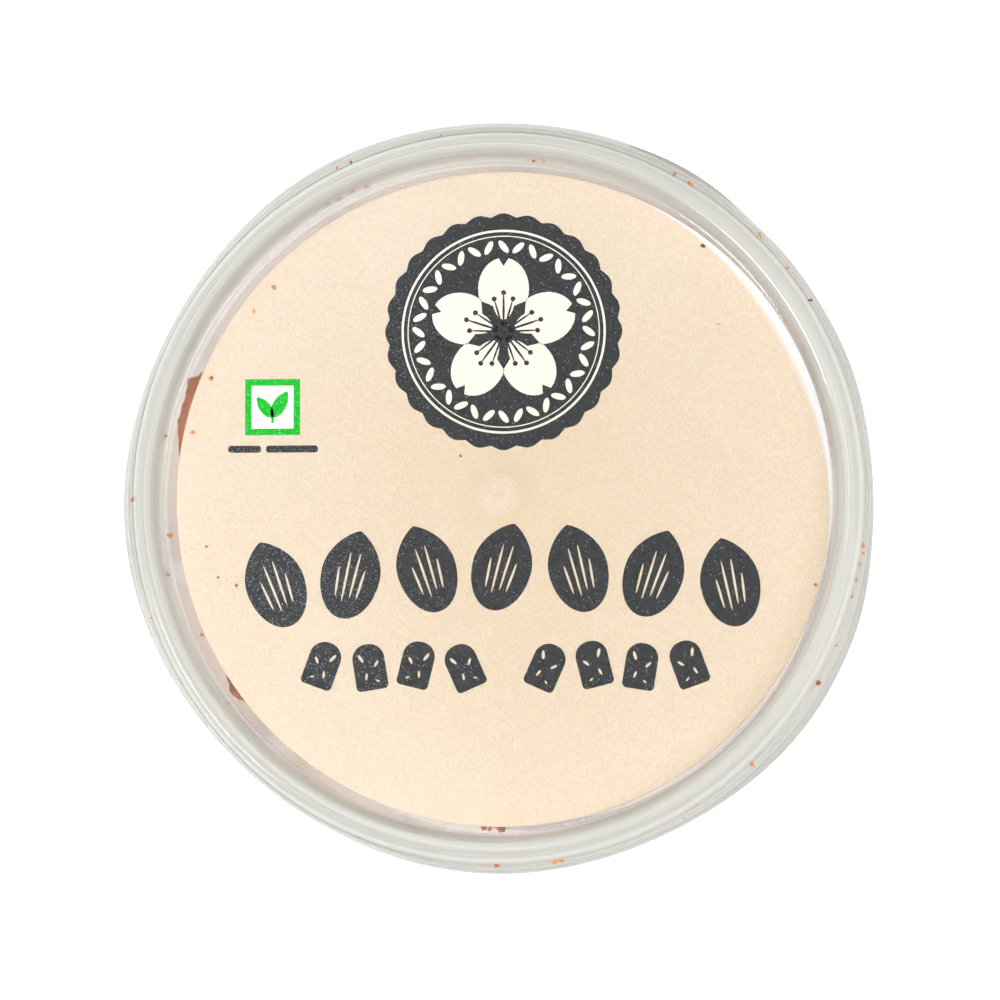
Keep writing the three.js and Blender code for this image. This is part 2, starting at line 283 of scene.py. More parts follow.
def film(name, colour, deep, roughness, relief, index=1.49, through=0):
    """Printed polypropylene film with a matt varnish. It is embossed with an orange-peel grain, about
    0.3 mm from crest to crest; on the ink, painted glints stand for its facets that catch the lamp.
    Bare film lets some light through, and has a painted white highlight where it lifts. The tone of
    the film has light and shade painted in."""
    material, tree = new_material(name)
    here = add(tree, "TexCoord", out="Object")
    grain = add(tree, "TexNoise", {"Scale": 2400, "Detail": 1.5, "Roughness": 0.6}, {"Vector": here})
    speckled = add(tree, "MapRange", {1: 0.36, 2: 0.64, 3: -0.3, 4: 0.3}, {0: grain})
    mottle_and_painted_light = add(tree, "Math", links={0: film_tone_and_painted_light(tree, here), 1: speckled}, operation="ADD", use_clamp=True)
    shade = add(tree, "Mix", {6: linear(deep), 7: linear(colour)}, {0: mottle_and_painted_light}, 2, data_type="RGBA")
    bumps = add(tree, "Bump", {"Strength": relief, "Distance": 0.25 * MM},
                {"Height": grain, "Normal": gate_relief(tree, here)})
    if through:
        # Painted highlight: the lifted edge is mixed to white, for the lamp's glare on it.
        shade = add(tree, "Mix", {7: grey(1)}, {0: lifted_edge_painted_glare(tree, here), 6: shade}, 2, data_type="RGBA")
    else:
        # Painted highlight: glint specks are added to the colour of the ink.
        shade = add(tree, "Mix", {7: PAINTED_GLINT}, {0: painted_film_glints(tree, here), 6: shade}, 2, data_type="RGBA",
                    blend_type="ADD")
    skin = add(tree, "BsdfPrincipled", {"Roughness": roughness, "IOR": index},
               {"Base Color": shade, "Normal": bumps})
    if through:
        glow = add(tree, "BsdfTranslucent", links={"Color": shade})
        skin = add(tree, "MixShader", {0: through}, {1: skin, 2: glow})
    return finish(material, skin)


def baked_rusk():
    """Twice-baked sponge: a dry open crumb toasted golden brown, with a redder brown crust round
    each slice. Pores 1 to 2 mm wide, with painted shade in them, and darker toasting where the crumb stood
    proud."""
    material, tree = new_material("Baked_cake_rusk")
    here = add(tree, "TexCoord", out="Object")
    crust = add(tree, "Attribute", out="Fac", attribute_name="crust")
    patches = add(tree, "TexNoise", {"Scale": 120, "Detail": 4}, {"Vector": here})
    pores = add(tree, "TexVoronoi", {"Scale": 700, "Randomness": 1}, {"Vector": here})
    crumb = add(tree, "ValToRGB", links={"Fac": patches},
                stops=[(0.3, linear("#cb8046")), (0.5, linear("#e09a5f")), (0.72, linear("#efba82"))])
    rind = add(tree, "ValToRGB", links={"Fac": patches},
               stops=[(0.34, linear("#a0461f")), (0.5, linear("#d86e30")), (0.66, linear("#f29550"))])
    # Painted shade: the pores are darkened, as if in shadow.
    painted_pore_shade = add(tree, "ValToRGB", links={"Fac": pores}, stops=[(0.1, grey(0.62)), (0.45, grey(1))])
    baked = add(tree, "Mix", links={0: crust, 6: crumb, 7: rind}, out=2, data_type="RGBA")
    shade = add(tree, "Mix", {0: 0.8}, {6: baked, 7: painted_pore_shade}, 2, data_type="RGBA", blend_type="MULTIPLY")
    crumbs = add(tree, "TexNoise", {"Scale": 1600, "Detail": 4}, {"Vector": here})
    height = add(tree, "Math", links={0: crumbs, 1: pores}, operation="ADD")
    relief = add(tree, "Bump", {"Strength": 0.8, "Distance": 0.5 * MM}, {"Height": height})
    body = add(tree, "BsdfPrincipled", {"Roughness": 0.85, "IOR": 1.45, "Specular IOR Level": 0.15},
               {"Base Color": shade, "Normal": relief})
    return finish(material, body)


def crumb_material(name, pale, dark):
    """Loose crumbs of rusk: rough, with darker patches at random, some from the crumb and some from the
    crust.
    """
    material, tree = new_material(name)
    here = add(tree, "TexCoord", out="Object")
    grain = add(tree, "TexNoise", {"Scale": 1200, "Detail": 3}, {"Vector": here})
    kind = add(tree, "TexNoise", {"Scale": 420, "Detail": 0}, {"Vector": here})
    both = add(tree, "Math", links={0: grain, 1: kind}, operation="ADD")
    shade = add(tree, "ValToRGB", links={"Fac": both}, stops=[(0.82, linear(dark)), (1.0, linear(pale))])
    return finish(material, add(tree, "BsdfPrincipled", {"Roughness": 0.8}, {"Base Color": shade}))


# Tables of tone: a radius in millimetres, or a share of a span, and how much there.
CORNER_GLOSS = [(66.8, 0), (66.9, 0.7), (67, 0), (69, 0), (69.08, 1), (69.16, 1), (69.24, 0)]
LID_HAZE = [(0, 0), (66.7, 0), (67, 0.4), (67.4, 0.25), (68.4, 0.45), (71, 0.47), (72, 0.5), (72.75, 0.5),
            (72.9, 0.25), (73.1, 0.25), (73.3, 0.8), (74.2, 0.85), (74.5, 0.5), (75, 0.5)]
TUB_HAZE = [(0, 0), (68.7, 0), (69.2, 0.25), (71, 0.25), (74, 0.3)]
GATE_TONES = [(0.0, 0.3), (0.05, 0.35), (0.14, 0.7), (0.3, 0.75), (0.42, 0.5), (0.5, 0.2), (0.66, 0.35),
              (1.0, 0.5)]
# Painted highlight: the glint colour added to the ink.
PAINTED_GLINT = linear("#818993")  # what a facet's glint adds to the colour of the ink

LID_PLASTIC = clear_polypropylene("Lid_polypropylene", 0.012, 0.6, 0.5, LID_HAZE, LID_WALL_TOP, 0.35)
TUB_PLASTIC = clear_polypropylene("Tub_polypropylene", 0.03, 0.7, 0.35, TUB_HAZE, 0)
LABEL_FILM = film("Cream_matt_film", "#f9e9d6", "#edd7b5", 0.32, 0.9, through=0.2)
CHARCOAL_INK = film("Charcoal_ink", "#1b1e20", "#0e1011", 0.25, 0.9)
CREAM_INK = film("Cream_ink", "#f8f0e4", "#efe5d6", 0.4, 0.7)
GREEN_INK = film("Green_ink", "#00c021", "#00ae1b", 0.4, 0.7, index=1.3)
WHITE_INK = film("White_ink", "#fdfdfa", "#f2f2ee", 0.4, 0.6)
RUSK = baked_rusk()
CRUMB = crumb_material("Rusk_crumb", "#e8a268", "#b85c34")
DARK_CRUMB = crumb_material("Scorched_crumb", "#6d5a4c", "#3b2d27")


# ---------------------------------------------------------------- making by hand


def open_piece(name, material):
    """Names the new primitive, gives it its material, and opens it for editing."""
    piece = bpy.context.object
    piece.name = piece.data.name = name
    piece.data.materials.append(material)
    bpy.ops.object.mode_set(mode="EDIT")
    return piece


def close_piece(piece, smooth=None):
    """Leaves editing, puts the piece's place in its mesh, and smooths it below an angle."""
    bpy.ops.object.mode_set(mode="OBJECT")
    bpy.ops.object.transform_apply(location=True, rotation=True, scale=True)
    if smooth:
        bpy.ops.object.shade_smooth_by_angle(angle=math.radians(smooth))
    return piece


def new_start():
    bpy.ops.object.select_all(action="DESELECT")


def pick(piece, rule, what="verts"):
    """Selects the vertices, edges or faces for which the rule holds."""
    shape = bmesh.from_edit_mesh(piece.data)
    for kind in (shape.verts, shape.edges, shape.faces):
        for part in kind:
            part.select = False
    shape.select_mode = {{"verts": "VERT", "edges": "EDGE", "faces": "FACE"}[what]}
    for part in [part for part in getattr(shape, what) if rule(part)]:
        part.select_set(True)
    shape.select_flush_mode()
    bmesh.update_edit_mesh(piece.data)


def join(pieces, name):
    new_start()
    for piece in pieces:
        piece.select_set(True)
    bpy.context.view_layer.objects.active = pieces[0]
    if len(pieces) > 1:
        bpy.ops.object.join()
    joined = bpy.context.object
    joined.name = joined.data.name = name
    return joined


def wire_section(name, material, points, level=0):
    """Draws half a section, from point to point. A third number rounds that corner."""
    new_start()
    first = points[0]
    bpy.ops.mesh.primitive_plane_add(size=MM, location=(first[0] * MM, level * MM, first[1] * MM))
    piece = open_piece(name, material)
    bpy.ops.mesh.merge(type="CENTER")
    for last, point in zip(points, points[1:]):
        step = ((point[0] - last[0]) * MM, 0, (point[1] - last[1]) * MM)
        bpy.ops.mesh.extrude_region_move(TRANSFORM_OT_translate={"value": step})
    rounded = {}
    for point in points:
        if len(point) > 2:
            rounded.setdefault(point[2], []).append(Vector((point[0] * MM, level * MM, point[1] * MM)))
    for bend, corners in rounded.items():
        to_world = piece.matrix_world
        pick(piece, lambda v: any((to_world @ v.co - c).length < 1e-6 for c in corners))
        bpy.ops.mesh.bevel(offset=bend * MM, offset_type="OFFSET", segments=5, affect="VERTICES",
                           clamp_overlap=True)
    return piece


def spun(name, material, points, steps, centre=(0, 0), smooth=40):
    """A turned piece: the section is spun right round the upright through centre."""
    piece = wire_section(name, material, points, centre[1])
    bpy.ops.mesh.select_all(action="SELECT")
    bpy.ops.mesh.spin(steps=steps, angle=2 * math.pi, center=(centre[0] * MM, centre[1] * MM, 0),
                      axis=(0, 0, 1))
    bpy.ops.mesh.select_all(action="SELECT")
    bpy.ops.mesh.remove_doubles(threshold=1e-6)
    bpy.ops.mesh.normals_make_consistent(inside=False)
    return close_piece(piece, smooth)


# ---------------------------------------------------------------- tub and lid


def make_tub():
    section = [
        (0, 1.4), (60.3, 1.4, 0.4), (61.6, 0, 0.3), (64.2, 0, 0.6), (66.6, 2.4, 1.6),
        (68.6, 78.6, 0.8), (69.6, 80.4, 0.5), (73.2, 81, 0.2), (73.6, 81.6, 0.2), (73.2, 82.2, 0.2),
        (70.9, 82.3, 0.3), (70.3, 83, 0.3), (70.3, 92.6, 0.3), (70.9, 93.2, 0.2), (70.9, 94.7, 0.4),
        (69.4, 94.7, 0.4), (69.4, 81.7, 0.3), (68.9, 80.5, 0.5), (67.9, 79.5, 0.6), (67.5, 78.6, 0.8),
        (65.5, 5, 0.5), (64.8, 3.6, 0.4), (63.5, 3, 0.6), (0, 3),
    ]
    return spun("tub_moulding", TUB_PLASTIC, section, 256)


# The lobes of the skirt's free edge: how many, how high in millimetres, and one peak in degrees.
SKIRT_LOBES = ((1, 0.58, 92), (2, 0.38, -47), (3, 0.4, -41), (5, 0.37, -28), (6, 0.1, 15), (7, 0.13, 18.5))
SHOULDER_SHARE = 0.3  # of the lobes that the shoulder follows
# Places where the edge alone stands out or in: middle and half width in degrees, and height. The
# first is the lift lip.
SKIRT_BULGES = ((LIP_ANGLE, LIP_HALF_WIDTH, 0.28), (47, 8, -0.25), (20, 14, 0.22), (-18, 12, 0.25),
                (-85, 35, 0.15))


def skirt_wave(angle):
    """How far the lobes put the skirt out at an angle, in millimetres."""
    return sum(height * math.cos(count * (angle - math.radians(peak))) for count, height, peak in SKIRT_LOBES)


def skirt_bulge(angle):
    """How far the bulges put the skirt's edge out at an angle, in millimetres."""
    shares = ((abs((math.degrees(angle) - middle + 180) % 360 - 180) / half, height)
              for middle, half, height in SKIRT_BULGES)
    return sum(height * (1 + math.cos(math.pi * share)) / 2 for share, height in shares if share < 1)


def make_lid():
    under = PANEL_TOP - PANEL_WALL
    section = [
        (0, under), (67.2, under, 0.5), (68.3, under + 1.1, 0.4), (69.2, RIM_TOP - PANEL_WALL, 0.4),
        (71.15, RIM_TOP - PANEL_WALL, 0.5), (71.3, 92.4, 0.2), (70.75, 91.9, 0.2), (70.75, 91.2, 0.2),
        (71.4, 90.6, 0.3), (72.3, 88.7, 0.4), (73.1, 88.5, 0.3), (74.3, SKIRT_EDGE, 0.15),
        (75.2, SKIRT_EDGE, 0.3), (SHOULDER_RADIUS, LEDGE_TOP, 0.5), (73, LEDGE_TOP, 0.3), (72, RIM_TOP, 1.1),
        (68.8, RIM_TOP, 0.35), (67.3, PANEL_TOP, 0.6), (0, PANEL_TOP),
    ]
    lid = spun("lid_moulding", LID_PLASTIC, section, 360)
    # The ledge and the skirt follow the lobes, most at the skirt's edge.
    for vertex in lid.data.vertices:
        radius = math.hypot(vertex.co.x, vertex.co.y) / MM
        if radius < CREASE_RADIUS:
            continue
        angle = math.atan2(vertex.co.y, vertex.co.x)
        across = min((radius - CREASE_RADIUS) / (SHOULDER_RADIUS - CREASE_RADIUS), 1)
        drop = min(max((LEDGE_TOP - vertex.co.z / MM) / (LEDGE_TOP - SKIRT_EDGE), 0), 1)
        share = SHOULDER_SHARE + (1 - SHOULDER_SHARE) * drop
        waved = (radius + across * share * skirt_wave(angle) + drop * skirt_bulge(angle)) / radius
        vertex.co.x *= waved
        vertex.co.y *= waved
    return lid


tub = make_tub()
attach(tub, "root"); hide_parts("tub")
lid = make_lid()
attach(lid, "root"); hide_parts("lid")


# ---------------------------------------------------------------- label and its print


# The curl of the label's edge at its lifted side: how high, from how far in, and how far outward as
# a share of the radius.
CURL_HEIGHT = 0.42
CURL_WIDTH = 2.1
CURL_REACH = 0.005


def make_label():
    """A disc of film. It follows the lid's gate mark, a soft bump with a dimple, near its middle, and
    its edge curls up to the foot of the recess wall at the right, where it lies too far over."""
    bump = [(0, 0.2), (0.5, 0.19), (1, 0.26), (1.6, 0.33), (2.4, 0.33), (3.2, 0.2), (3.9, 0.07), (4.6, 0.01),
            (5.1, 0)]
    edge = [(62, 0), (LABEL_RADIUS - CURL_WIDTH, 0), (63.8, 0), (64.3, 0), (64.8, 0), (LABEL_RADIUS - 0.1, 0),
            (LABEL_RADIUS, -0.08)]
    section = [(r, LABEL_TOP + h) for r, h in bump + edge] + [(LABEL_RADIUS, LABEL_FOOT), (0, LABEL_FOOT)]
    label = spun("label_film", LABEL_FILM, [(GATE[0] + r, z) for r, z in section], 256, GATE, 50)
    # The bump stays over the gate mark, and the edge moves to the label's own middle.
    between = 50 * MM
    bpy.ops.object.mode_set(mode="EDIT")
    pick(label, lambda v: math.hypot(v.co.x, v.co.y) > between)
    shift = ((LABEL_MIDDLE[0] - GATE[0]) * MM, (LABEL_MIDDLE[1] - GATE[1]) * MM, 0)
    bpy.ops.transform.translate(value=shift)
    close_piece(label)
    for vertex in label.data.vertices:
        x, y = vertex.co.x / MM - LABEL_MIDDLE[0], vertex.co.y / MM - LABEL_MIDDLE[1]
        side = max(math.cos(math.atan2(y, x) - LIFTED_SIDE), 0) ** 6
        near_edge = min(max((math.hypot(x, y) - (LABEL_RADIUS - CURL_WIDTH)) / CURL_WIDTH, 0), 1) ** 2
        vertex.co.z += CURL_HEIGHT * MM * side * near_edge
        vertex.co.x *= 1 + CURL_REACH * side * near_edge
        vertex.co.y *= 1 + CURL_REACH * side * near_edge
    return label


label = make_label()
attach(label, "root"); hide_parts("label")


def flat_circle(name, ink, middle, radius, around=48, stretch=(1, 1)):
    """A round of ink, open for shaping."""
    new_start()
    bpy.ops.mesh.primitive_circle_add(vertices=around, radius=radius * MM, fill_type="NGON",
                                      location=(middle[0] * MM, middle[1] * MM, LABEL_TOP * MM))
    piece = open_piece(name, ink)
    bpy.ops.mesh.select_all(action="SELECT")
    bpy.ops.transform.resize(value=(stretch[0], stretch[1], 1))
    return piece


def flat_box(name, ink, middle, width, height, rounding=0):
    """A rectangle of ink, open for shaping."""
    new_start()
    bpy.ops.mesh.primitive_plane_add(size=MM, location=(middle[0] * MM, middle[1] * MM, LABEL_TOP * MM))
    piece = open_piece(name, ink)
    bpy.ops.mesh.select_all(action="SELECT")
    bpy.ops.transform.resize(value=(width, height, 1))
    if rounding:
        bpy.ops.mesh.bevel(offset=rounding * MM, offset_type="OFFSET", segments=6, affect="VERTICES")
    return piece


def lay_ink(piece, layer=1, turn=0, about=None):
    """Gives a flat shape the thickness of its layers of ink, turned about a point."""
    bpy.ops.mesh.select_all(action="SELECT")
    bpy.ops.mesh.extrude_region_move(TRANSFORM_OT_translate={"value": (0, 0, layer * INK * MM)})
    bpy.ops.mesh.select_all(action="SELECT")
    bpy.ops.mesh.normals_make_consistent(inside=False)
    if turn:
        centre = (about[0] * MM, about[1] * MM, LABEL_TOP * MM)
        bpy.ops.transform.rotate(value=-math.radians(turn), orient_axis="Z", center_override=centre)
    return close_piece(piece)


def almond(middle, turn, ink_parts, line_parts):
    """An almond, round below and pointed above, with the fine furrows of its skin left bare."""
    half_width, half_height, around = 5.9, 8.9, 48
    kernel = flat_circle("almond", CHARCOAL_INK, middle, half_height, around, (half_width / half_height, 1))
    narrowed = 1
    for row in range(1, around // 4):
        rise = math.sin(2 * math.pi * row / around)
        narrow = (1 - rise * rise) ** 0.3
        pick(kernel, lambda v: v.co.y > (rise - 0.002) * half_height * MM)
        bpy.ops.transform.resize(value=(narrow / narrowed, 1, 1))
        narrowed = narrow
    ink_parts.append(lay_ink(kernel, 1, turn, middle))
    for across, length, lift in ((-2.5, 3.0, -1.6), (-0.8, 5.0, -0.6), (0.9, 4.6, 0), (2.5, 3.0, -1.4)):
        furrow = flat_circle("furrow", LABEL_FILM, (middle[0] + across, middle[1] + lift), length, 20,
                             (0.24 / length, 1))
        line_parts.append(lay_ink(furrow, 2, turn - 2 * across, middle))


def print_medallion(dark, cream):
    """The medallion at the top: a scalloped round with two thin rings, leaves and a five-petalled blossom."""
    middle = (1.2, 33.0)
    scallops = flat_circle("medallion", CHARCOAL_INK, middle, 24, 56)
    pick(scallops, lambda v: v.index % 2)
    bpy.ops.transform.resize(value=(0.955, 0.955, 1))
    pick(scallops, lambda v: not v.index % 2)
    bpy.ops.mesh.bevel(offset=1.25 * MM, offset_type="OFFSET", segments=5, affect="VERTICES")
    dark.append(lay_ink(scallops))
    for outer, width in ((20.4, 0.45), (19.2, 0.2)):
        ring = flat_circle("ring", CREAM_INK, middle, outer, 128)
        bpy.ops.mesh.inset(thickness=width * MM)
        pick(ring, lambda f: len(f.verts) > 8, "faces")
        bpy.ops.mesh.delete(type="FACE")
        cream.append(lay_ink(ring, 2))
    for i in range(5):
        turn = 72 * i
        petal = flat_circle("petal", CREAM_INK, (middle[0], middle[1] + 8.6), 6.2, 32, (0.82, 1))
        pick(petal, lambda v: v.co.y < -3.4 * MM)
        bpy.ops.transform.resize(value=(0.5, 1, 1))
        pick(petal, lambda v: v.co.y > 6.15 * MM)
        bpy.ops.transform.translate(value=(0, -1.7 * MM, 0))
        cream.append(lay_ink(petal, 2, turn, middle))
        for lean, reach in ((-16, 5.6), (0, 6.6), (16, 5.6)):
            stamen = flat_circle("stamen", CHARCOAL_INK, (middle[0], middle[1] + reach * 0.5 + 1),
                                 reach * 0.5, 12, (0.07, 1))
            dark.append(lay_ink(stamen, 3, turn + lean, middle))
            tip = flat_circle("tip", CHARCOAL_INK, (middle[0], middle[1] + reach + 1.2), 0.5, 16)
            dark.append(lay_ink(tip, 3, turn + lean, middle))
    heart = flat_circle("heart", CHARCOAL_INK, middle, 2.0, 32)
    dark.append(lay_ink(heart, 3))
    for i in range(36):
        leaf = flat_circle("leaf", CREAM_INK, (middle[0], middle[1] + 17.0), 1.5, 16, (0.42, 1))
        leaf_spot = (middle[0] * MM, (middle[1] + 17.0) * MM, LABEL_TOP * MM)
        lean = math.radians((-38, 38)[i % 2])
        bpy.ops.transform.rotate(value=lean, orient_axis="Z", center_override=leaf_spot)
        cream.append(lay_ink(leaf, 2, 10 * i, middle))


def print_garland(dark, bare):
    """A garland of almonds across the middle."""
    for i in range(7):
        across = (i - 3) * 15.1
        drop = 0.9 - 0.0016 * across * across
        almond((0.9 + across, -14.8 + drop), (16, -16)[i % 2] - 0.1 * across, dark, bare)


def print_small_slices(dark, bare):
    """A row of small slices under the garland, with domed heads. A few long pores are left bare."""
    pores = ((-1.5, 1.9, 0.9, 25), (1.4, 0.5, 0.75, -40), (-0.9, -1.8, 0.7, -15), (1.2, -2.9, 0.45, 60))
    for side in (-1, 1):
        for i in range(4):
            spot = (1.5 + side * (8.2 + 9.4 * i), -33.8 + 0.5 * (i % 2))
            turn = side * (-24, 14, -9, 20)[i]
            toast = flat_box("toast", CHARCOAL_INK, spot, 6.4, 9.2)
            for head, rounding in ((True, 3), (False, 0.9)):
                pick(toast, lambda v: (v.co.y > 0) == head and len(v.link_edges) == 2
                     and abs(v.co.y) > 4.59 * MM)
                bpy.ops.mesh.bevel(offset=rounding * MM, offset_type="OFFSET", segments=8, affect="VERTICES")
            dark.append(lay_ink(toast, 1, turn, spot))
            flip = (1, -1)[i % 2]
            for across, up, length, lean in pores:
                x, y = spot[0] + flip * across, spot[1] + up
                hole = flat_circle("pore", LABEL_FILM, (x, y), length, 16, (0.35, 1))
                bpy.ops.transform.rotate(value=-math.radians(flip * lean), orient_axis="Z",
                                         center_override=(x * MM, y * MM, LABEL_TOP * MM))
                bare.append(lay_ink(hole, 2, turn, spot))


def print_sprig_square(dark, green, white):
    """The small green square at the left, with a sprig, and a line in two parts under it."""
    spot = (-45.0, 18.2)
    square = flat_box("square", GREEN_INK, spot, 11, 11.2)
    bpy.ops.mesh.inset(thickness=1.3 * MM)
    pick(square, lambda f: f.calc_center_median().xy.length < 1e-5, "faces")
    bpy.ops.mesh.delete(type="FACE")
    green.append(lay_ink(square))
    white.append(lay_ink(flat_box("window", WHITE_INK, spot, 8.5, 8.7), 1))
    for turn, reach in ((38, 2.3), (-30, 2.7)):
        leaf = flat_circle("leaf", GREEN_INK, (spot[0], spot[1] - 2.0 + reach), reach, 24, (0.5, 1))
        pick(leaf, lambda v: v.co.y > 0.95 * reach * MM)
        bpy.ops.transform.translate(value=(0, 0.4 * MM, 0))
        green.append(lay_ink(leaf, 2, turn, (spot[0], spot[1] - 2.0)))
    green.append(lay_ink(flat_box("stem", GREEN_INK, (spot[0], spot[1] - 2.4), 0.5, 1.6), 2))
    for across, width in ((-5.6, 6.6), (3.9, 10.4)):
        dark.append(lay_ink(flat_box("bar", CHARCOAL_INK, (spot[0] + across, 9.8), width, 1.4, 0.6)))


def make_print():
    dark, cream, green, white, bare = [], [], [], [], []
    print_medallion(dark, cream)
    print_garland(dark, bare)
    print_small_slices(dark, bare)
    print_sprig_square(dark, green, white)
    return [join(parts, name) for parts, name in (
        (dark, "print_charcoal"), (cream, "print_cream"), (green, "print_green"),
        (white, "print_white"), (bare, "print_bare_lines"))]


for printed in make_print():
    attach(printed, "root")


# ---------------------------------------------------------------- rusk


SHOWN_SLICE = "rusk_11"  # shows at the left, past the label
CORNER_SLICE = "rusk_01"  # stands next to it, and shows a corner
SKIN_FACE = 0.72  # the width of a face of a slice's skin
RIM_WIDTH = 2.6  # how far crust reaches in from a slice's edge, the last 0.7 mm of it whole
WHOLE_RIM = 0.7

# What a slice's skin is pushed by: a slow sag, open pores and a fine grit, with how far in millimetres.
SAG = bpy.data.textures.new("sag", "CLOUDS")
SAG.noise_scale = 14 * MM
PORES = bpy.data.textures.new("pores", "VORONOI")
PORES.noise_scale, PORES.noise_intensity = 2.0 * MM, 1.2
GRIT = bpy.data.textures.new("grit", "CLOUDS")
GRIT.noise_scale = 1.4 * MM
ROUGHNESS = (("sag", SAG, 0.9), ("pores", PORES, 0.9), ("grit", GRIT, 0.35))


def copied_slice(node):
    """A copy of the plain slice, with a fine skin."""
    new_start()
    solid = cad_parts[node]
    piece = solid.copy()
    piece.data = solid.data.copy()
    piece.parent = None
    piece.matrix_world = solid.matrix_world.copy()
    piece.name = piece.data.name = node + "_baked"
    bpy.context.scene.collection.objects.link(piece)
    piece.hide_render = piece.hide_viewport = False
    piece.data.materials.clear()
    piece.data.materials.append(RUSK)
    piece.select_set(True)
    bpy.context.view_layer.objects.active = piece
    bpy.ops.object.transform_apply(location=True, rotation=True, scale=True)
    bpy.ops.object.mode_set(mode="EDIT")
    bpy.ops.mesh.select_all(action="SELECT")
    bpy.ops.mesh.remove_doubles(threshold=1e-6)
    bpy.ops.object.mode_set(mode="OBJECT")
    skin = piece.modifiers.new("skin", "REMESH")
    skin.mode, skin.voxel_size = "VOXEL", SKIN_FACE * MM
    bpy.ops.object.modifier_apply(modifier="skin")
    return piece


def crust_share(spots):
    """How much of each point is crust: 1 at the slice's edges, and 0 on the faces between them."""
    middle = (spots.max(0) + spots.min(0)) / 2
    axes = np.linalg.eigh(np.cov((spots - middle).T))[1]  # thickness, width, height
    local = (spots - middle) @ axes / MM
    half = np.abs(local).max(0)
    return np.maximum(*(smooth_step(half[i] - RIM_WIDTH, half[i] - WHOLE_RIM, np.abs(local[:, i]))
                        for i in (1, 2)))


def settle(node, spots):
    """Moves a slice's points as it stands in the ring: its foot keeps a little clear of the wall. The
    slice that shows at the left is longer at its upper end, swells beside the label and falls away at
    both corners. Of the one next to it, a corner stands out."""
    reach = np.hypot(spots[:, 0], spots[:, 1])
    foot = 1 - smooth_step(10 * MM, 60 * MM, spots[:, 2])
    drawn_in = 1.5 * MM * smooth_step(56 * MM, 61 * MM, reach) * foot
    spots[:, :2] *= (1 - drawn_in / np.maximum(reach, MM))[:, None]
    head = smooth_step(66 * MM, 78 * MM, spots[:, 2]) * smooth_step(57 * MM, 61 * MM, reach)
    up = spots[:, 1] / MM  # up the picture, in millimetres
    swell = 0
    if node == SHOWN_SLICE:
        spots[:, 1] += 1.8 * MM * smooth_step(14, 24, up) * head
        up = spots[:, 1] / MM
        swell = 1.2 * np.exp(-(((up - 15.4) / 6) ** 2)) - 0.9 * smooth_step(0.5, -3.5, up)
        swell = swell - 1.6 * smooth_step(24.2, 26, up)
    if node == CORNER_SLICE:
        swell = 1.25 * np.exp(-(((up + 37.8) / 4.6) ** 2))
    spots[:, :2] *= (1 + swell * MM * head / reach)[:, None]


def make_slice(node):
    """A slice of rusk, settled in its place, with its crust noted and its pores open."""
    piece = copied_slice(node)
    spots = np.empty(len(piece.data.vertices) * 3)
    piece.data.vertices.foreach_get("co", spots)
    spots = spots.reshape(-1, 3)
    crust = crust_share(spots)
    settle(node, spots)
    piece.data.vertices.foreach_set("co", spots.ravel())
    piece.data.attributes.new("crust", "FLOAT", "POINT").data.foreach_set("value", crust.astype(np.float32))
    for name, texture, strength in ROUGHNESS:
        push = piece.modifiers.new(name, "DISPLACE")
        push.texture, push.texture_coords = texture, "LOCAL"
        push.strength, push.mid_level = strength * MM, 0.64
        bpy.ops.object.modifier_apply(modifier=name)
    bpy.ops.object.shade_smooth()
    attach(piece, "root"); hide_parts(node)


for node in sorted(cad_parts):
    if node.startswith("rusk_"):
        make_slice(node)


# ---------------------------------------------------------------- crumbs


def lid_height(radius):
    """Height of the lid's upper skin at a radius."""
    steps = ((0, PANEL_TOP), (66.9, PANEL_TOP), (67.5, 91), (68.7, 95.6), (69.1, RIM_TOP), (71, RIM_TOP),
             (72, 95), (72.7, 90.6), (73.2, LEDGE_TOP), (73.9, LEDGE_TOP), (74.2, 88.8))
    return float(np.interp(radius, *zip(*steps)))


def crumb_at(x, y, z, size, material, draw):
    """One crumb: a rough flake."""
    new_start()
    spot = (x * MM, y * MM, z * MM)
    bpy.ops.mesh.primitive_ico_sphere_add(subdivisions=1, radius=size / 2 * MM, location=spot)
    crumb = open_piece("crumb", material)
    bpy.ops.mesh.select_all(action="SELECT")
    bpy.ops.transform.vertex_random(offset=0.28 * size * MM, seed=draw.randrange(1, 9999))
    bpy.ops.transform.resize(value=(1 + draw.random() * 0.6, 0.8 + draw.random() * 0.4, 0.6))
    bpy.ops.transform.rotate(value=draw.random() * 6.28, orient_axis="Z", center_override=spot)
    return close_piece(crumb)


def cluster_at(x, y, z, size, material, draw):
    """Flakes that lie together, fewer where the cluster is small."""
    flakes = []
    for _ in range(1 + round(size / 0.55 * draw.random())):
        turn, out = 2 * math.pi * draw.random(), 0.5 * size * draw.random()
        flake = size * (0.4 + 0.3 * draw.random())
        flakes.append(crumb_at(x + out * math.cos(turn), y + out * math.sin(turn), z, flake, material, draw))
    return flakes


